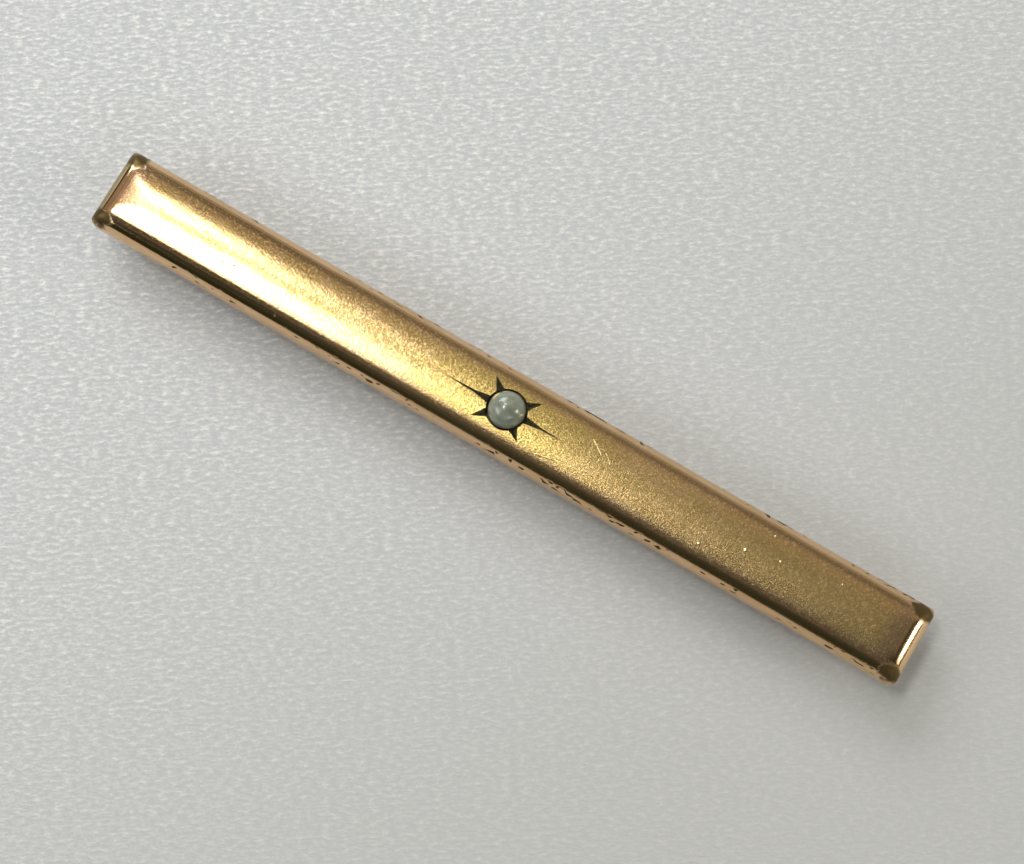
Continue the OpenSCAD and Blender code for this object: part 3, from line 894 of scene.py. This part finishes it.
# %% Build the stem's tree
stem_tree, given = new_tree("drawn_stem", (("Start", "NodeSocketVector"), ("End", "NodeSocketVector"),
                                           ("Wire Radius", "NodeSocketFloat"), ("Point Length", "NodeSocketFloat"),
                                           ("Tip Radius", "NodeSocketFloat"), ("Solder Swell", "NodeSocketFloat"),
                                           ("Material", "NodeSocketMaterial")))
line = stem_tree.nodes.new("GeometryNodeCurvePrimitiveLine")
wire(stem_tree, given.outputs["Start"], line.inputs["Start"])
wire(stem_tree, given.outputs["End"], line.inputs["End"])
stations = stem_tree.nodes.new("GeometryNodeResampleCurve")
stations.inputs["Count"].default_value = 420
wire(stem_tree, line.outputs[0], stations.inputs["Curve"])
along = stem_tree.nodes.new("GeometryNodeSplineParameter").outputs["Length"]
total = stem_tree.nodes.new("ShaderNodeVectorMath")
total.operation = "DISTANCE"
wire(stem_tree, given.outputs["Start"], total.inputs[0])
wire(stem_tree, given.outputs["End"], total.inputs[1])
left = calc(stem_tree, "SUBTRACT", total.outputs["Value"], along)
full, tip = given.outputs["Wire Radius"], given.outputs["Tip Radius"]
taper = calc(stem_tree, "DIVIDE", calc(stem_tree, "SUBTRACT", full, tip), given.outputs["Point Length"])
ground = calc(stem_tree, "MULTIPLY_ADD", left, taper, tip)
rounded = calc(stem_tree, "SQRT", calc(stem_tree, "MULTIPLY", left, calc(stem_tree, "MULTIPLY", tip, 2.2)))
radius = calc(stem_tree, "MINIMUM", full, calc(stem_tree, "MINIMUM", ground, rounded))
fade = calc(stem_tree, "POWER", 2.718, calc(stem_tree, "MULTIPLY", along, -4500.0))
radius = calc(stem_tree, "MULTIPLY_ADD", fade, given.outputs["Solder Swell"], radius)
swept = stem_tree.nodes.new("GeometryNodeSetCurveRadius")
wire(stem_tree, stations.outputs[0], swept.inputs["Curve"])
wire(stem_tree, radius, swept.inputs["Radius"])
round_wire = stem_tree.nodes.new("GeometryNodeCurvePrimitiveCircle")
round_wire.inputs["Resolution"].default_value = 40
round_wire.inputs["Radius"].default_value = 1.0
tube = stem_tree.nodes.new("GeometryNodeCurveToMesh")
tube.inputs["Fill Caps"].default_value = True
wire(stem_tree, swept.outputs[0], tube.inputs["Curve"])
wire(stem_tree, round_wire.outputs[0], tube.inputs["Profile Curve"])
if "Scale" in tube.inputs:
    scale_node = stem_tree.nodes.new("GeometryNodeInputRadius")
    wire(stem_tree, scale_node.outputs[0], tube.inputs["Scale"])
close_tree(stem_tree, tube.outputs[0], given.outputs["Material"])
pin_wire = grow(new_piece("pin_wire", bpy.data.meshes.new("pin_wire")), stem_tree,
                start=(stem_start, 0.0, stem_height), end=(stem_high.x, 0.0, stem_height), wire_radius=stem_radius,
                point_length=POINT_LENGTH, tip_radius=TIP_RADIUS, solder_swell=0.07 * MM, material=wire_gold)
soften(pin_wire, 50)
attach(pin_wire, "pin")
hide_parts("pin_stem")
print("stem:", len(pin_wire.data.polygons), "faces")

# %% [markdown]
# ## The rivet
# A real rivet starts as a wire through both ears and is spread at each end into a low dome. The two domes are
# the same shape turned opposite ways, so a tree sets one turned dome on two points, and a plain shank joins
# them.

# %% Build the rivet
rivet_low, rivet_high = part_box("joint_rivet")
ears_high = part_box("pin_joint")[1]
rivet_middle = Vector(((rivet_low.x + rivet_high.x) / 2, 0, (rivet_low.z + rivet_high.z) / 2))
head_radius = (rivet_high.z - rivet_low.z) / 2
head_height = rivet_high.y - ears_high.y
dome = [(0, -0.02 * MM), (head_radius * 0.96, -0.02 * MM), (head_radius, head_height * 0.12)]
for k in range(1, 11):
    a = math.radians(9 * k)
    dome.append((head_radius * math.cos(a) if k < 10 else 0, head_height * (0.12 + 0.88 * math.sin(a))))
rivet_dome = lathe("rivet_dome", dome, (0, 0, 0), steps=56, finish=bright_gold)
ends_mesh = bpy.data.meshes.new("rivet_ends")
ends_mesh.from_pydata([rivet_middle + Vector((0, s * ears_high.y, 0)) for s in (-1, 1)], [], [])
facing = ends_mesh.attributes.new("facing", "FLOAT_VECTOR", "POINT")
for k, s in enumerate((-1, 1)):
    facing.data[k].vector = (math.radians(-90 * s), 0, 0)
rivet_tree, given = new_tree("rivet_heads", (("Head", "NodeSocketObject"), ("Shank Radius", "NodeSocketFloat"),
                                             ("Shank Length", "NodeSocketFloat"), ("Middle", "NodeSocketVector"),
                                             ("Material", "NodeSocketMaterial")))
head_info = rivet_tree.nodes.new("GeometryNodeObjectInfo")
wire(rivet_tree, given.outputs["Head"], head_info.inputs[0])
turned = rivet_tree.nodes.new("GeometryNodeInputNamedAttribute")
turned.data_type = "FLOAT_VECTOR"
turned.inputs["Name"].default_value = "facing"
as_rotation = rivet_tree.nodes.new("FunctionNodeEulerToRotation")
wire(rivet_tree, turned.outputs[0], as_rotation.inputs[0])
set_heads = rivet_tree.nodes.new("GeometryNodeInstanceOnPoints")
wire(rivet_tree, given.outputs["Geometry"], set_heads.inputs["Points"])
wire(rivet_tree, head_info.outputs["Geometry"], set_heads.inputs["Instance"])
wire(rivet_tree, as_rotation.outputs[0], set_heads.inputs["Rotation"])
shank = rivet_tree.nodes.new("GeometryNodeMeshCylinder")
shank.inputs["Vertices"].default_value = 48
wire(rivet_tree, given.outputs["Shank Radius"], shank.inputs["Radius"])
wire(rivet_tree, given.outputs["Shank Length"], shank.inputs["Depth"])
shank_place = rivet_tree.nodes.new("GeometryNodeTransform")
wire(rivet_tree, shank.outputs["Mesh"], shank_place.inputs["Geometry"])
wire(rivet_tree, given.outputs["Middle"], shank_place.inputs["Translation"])
shank_place.inputs["Rotation"].default_value = (math.radians(90), 0, 0)
joined = rivet_tree.nodes.new("GeometryNodeJoinGeometry")
wire(rivet_tree, set_heads.outputs[0], joined.inputs[0])
wire(rivet_tree, shank_place.outputs[0], joined.inputs[0])
close_tree(rivet_tree, joined.outputs[0], given.outputs["Material"])
rivet = grow(new_piece("spread_rivet", ends_mesh), rivet_tree, head=rivet_dome, shank_radius=head_radius - 0.14 * MM,
             shank_length=2 * ears_high.y, middle=rivet_middle, material=bright_gold)
bpy.data.objects.remove(rivet_dome)
soften(rivet, 35)
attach(rivet, "bar")
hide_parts("joint_rivet")
print("rivet:", len(rivet.data.polygons), "faces, head", round(2 * head_radius / MM, 2), "mm")

# %% [markdown]
# ## Grip on the rotor's tab
# The finger tab is a quarter of a millimetre of metal, so the maker rolls a few ridges across it for a
# fingernail to catch. They are the same ridge repeated at an even step up the tab, which a tree makes from a
# line of points.

# %% Build the grip ridges
rotor_low, rotor_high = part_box("catch_rotor")
TAB_TURN = math.radians(40)
TAB_THICK = 0.22 * MM
rotor_axis = Vector(((rotor_low.x + rotor_high.x) / 2, 0, stem_height))
out = Vector((0, math.cos(TAB_TURN), math.sin(TAB_TURN)))
across = Vector((0, -math.sin(TAB_TURN), math.cos(TAB_TURN)))
ridge_tree, given = new_tree("grip_ridges", (("Count", "NodeSocketInt"), ("First", "NodeSocketVector"),
                                             ("Step", "NodeSocketVector"), ("Ridge Radius", "NodeSocketFloat"),
                                             ("Ridge Length", "NodeSocketFloat"), ("Material", "NodeSocketMaterial")))
row = ridge_tree.nodes.new("GeometryNodeMeshLine")
wire(ridge_tree, given.outputs["Count"], row.inputs["Count"])
wire(ridge_tree, given.outputs["First"], row.inputs["Start Location"])
wire(ridge_tree, given.outputs["Step"], row.inputs["Offset"])
ridge = ridge_tree.nodes.new("GeometryNodeMeshCylinder")
ridge.inputs["Vertices"].default_value = 16
wire(ridge_tree, given.outputs["Ridge Radius"], ridge.inputs["Radius"])
wire(ridge_tree, given.outputs["Ridge Length"], ridge.inputs["Depth"])
lying = ridge_tree.nodes.new("GeometryNodeInstanceOnPoints")
wire(ridge_tree, row.outputs[0], lying.inputs["Points"])
wire(ridge_tree, ridge.outputs["Mesh"], lying.inputs["Instance"])
lying.inputs["Rotation"].default_value = (0, math.radians(90), 0)
close_tree(ridge_tree, lying.outputs[0], given.outputs["Material"])
print("tab reaches", round(rotor_high.y / MM, 3), "mm to the side")
for side in (-1, 1):
    first = rotor_axis + out * (0.93 * MM) + across * (side * TAB_THICK / 2)
    grip = new_piece("tab_grip_" + ("under" if side < 0 else "over"), bpy.data.meshes.new("grip"))
    grow(grip, ridge_tree, count=3, first=first, step=out * (0.055 * MM), ridge_radius=0.017 * MM,
         ridge_length=0.42 * MM, material=bright_gold)
    soften(grip, 60)
    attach(grip, "rotor")
    print(grip.name, len(grip.data.polygons), "faces")

# %% [markdown]
# ## The cloth
# The pin lies on a pale satin. It isn't part of the object, so it is only a wide, level sheet.

# %% Lay the cloth
CLOTH = 0.8
bm = bmesh.new()
bmesh.ops.create_grid(bm, x_segments=8, y_segments=8, size=CLOTH)
cloth_mesh = bpy.data.meshes.new("cloth")
bm.to_mesh(cloth_mesh)
bm.free()
cloth = new_piece("cloth", cloth_mesh, cloth_finish)
print("cloth", 2 * CLOTH, "m wide")
